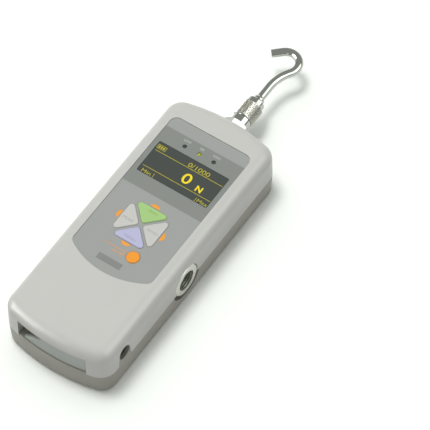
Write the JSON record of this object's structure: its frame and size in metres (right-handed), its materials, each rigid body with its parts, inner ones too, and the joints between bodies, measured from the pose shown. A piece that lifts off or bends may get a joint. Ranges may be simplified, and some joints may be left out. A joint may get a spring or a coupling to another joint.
{
  "type": "force gauge",
  "caption": "Handheld digital force gauge: two-part case with display and keypad, threaded side bosses for handles, and a hook on the measuring shaft.",
  "frame": {"origin": "middle of the case on its back plane", "axes": "+Z out of the face, +Y along the shaft towards the hook, +X to the right when the face is read"},
  "size_m": [0.075, 0.2633, 0.0386],
  "materials": {
    "case_light": "fine moulded texture, satin",
    "case_grey": "fine moulded texture, satin",
    "overlay": "printed film, satin",
    "window": "clear window over a dark display, gloss",
    "cover_grey": "satin",
    "steel": "plain",
    "key_green": "satin",
    "key_white": "satin",
    "key_lilac": "satin",
    "key_orange": "satin",
    "lamp_dark": "unlit",
    "lamp_lit": "lit",
    "bright_steel": "bright nickel plate, knurled on the grip",
    "boss_metal": "turned, bright",
    "frame_aluminium": "milled",
    "cell_aluminium": "milled and anodised",
    "gauge_foil": "foil on amber film",
    "dark_steel": "black oxide",
    "brass": "turned",
    "rubber": "matt",
    "board_green": "solder mask",
    "chip_black": "moulded",
    "display_glass": "display glass and frame",
    "tray_black": "moulded",
    "cell_wrap": "shrink sleeve"
  },
  "bodies": {
    "case": {"front_cover": "case_light", "rear_cover": "case_grey", "face_panel": "overlay", "display_window": "window", "cover_pin": "steel", "lamp_low": "lamp_dark", "lamp_high": "lamp_dark", "lamp_pass": "lamp_lit", "right_handle_boss": "boss_metal", "left_handle_boss": "boss_metal", "chassis": "frame_aluminium", "load_cell": "cell_aluminium", "strain_gauges": "gauge_foil", "load_cell_bolt": "dark_steel", "shaft_bush": "brass", "dust_seal": "rubber", "main_board": "board_green", "board_chips": "chip_black", "key_switches": "chip_black", "board_screws": "steel", "buzzer": "chip_black", "display_module": "display_glass", "display_gasket": "rubber", "battery_tray": "tray_black", "battery_cells": "cell_wrap", "dc_jack": "chip_black", "dc_jack_pin": "brass", "usb_socket": "steel", "io_connector": "steel", "case_screws": "dark_steel", "chassis_screws": "steel"},
    "key_top_body": {"key_top": "key_green"},
    "key_left_body": {"key_left": "key_white"},
    "key_right_body": {"key_right": "key_white"},
    "key_bottom_body": {"key_bottom": "key_lilac"},
    "round_key_body": {"round_key": "key_orange"},
    "shaft_body": {"measuring_shaft": "steel", "lock_nut": "bright_steel"},
    "hook_body": {"hook_sleeve": "bright_steel", "hook": "bright_steel"},
    "cover_body": {"connector_cover": "cover_grey"}
  },
  "joints": [
    {"name": "key_top_press", "type": "slide", "parent": "case", "child": "key_top_body", "axis": [0, 0, -1], "range_m": [0, 0.0005], "stiffness_N_per_m": 1500, "springref_m": -0.0002},
    {"name": "key_left_press", "type": "slide", "parent": "case", "child": "key_left_body", "axis": [0, 0, -1], "range_m": [0, 0.0005], "stiffness_N_per_m": 1500, "springref_m": -0.0002},
    {"name": "key_right_press", "type": "slide", "parent": "case", "child": "key_right_body", "axis": [0, 0, -1], "range_m": [0, 0.0005], "stiffness_N_per_m": 1500, "springref_m": -0.0002},
    {"name": "key_bottom_press", "type": "slide", "parent": "case", "child": "key_bottom_body", "axis": [0, 0, -1], "range_m": [0, 0.0005], "stiffness_N_per_m": 1500, "springref_m": -0.0002},
    {"name": "round_key_press", "type": "slide", "parent": "case", "child": "round_key_body", "axis": [0, 0, -1], "range_m": [0, 0.0005], "stiffness_N_per_m": 1500, "springref_m": -0.0002},
    {"name": "shaft_deflection", "type": "slide", "parent": "case", "child": "shaft_body", "axis": [0, 1, 0], "range_m": [-0.00025, 0.00025], "stiffness_N_per_m": 20000},
    {"name": "hook_turn", "type": "hinge", "parent": "shaft_body", "child": "hook_body", "pos_m": [0, 0.11, 0.01925], "axis": [0, 1, 0], "range_deg": [-180, 180]},
    {"name": "connector_cover_swing", "type": "hinge", "parent": "case", "child": "cover_body", "pos_m": [0.02255, -0.09031, 0.025], "axis": [0, 0, 1], "range_deg": [0, 90]}
  ]
}
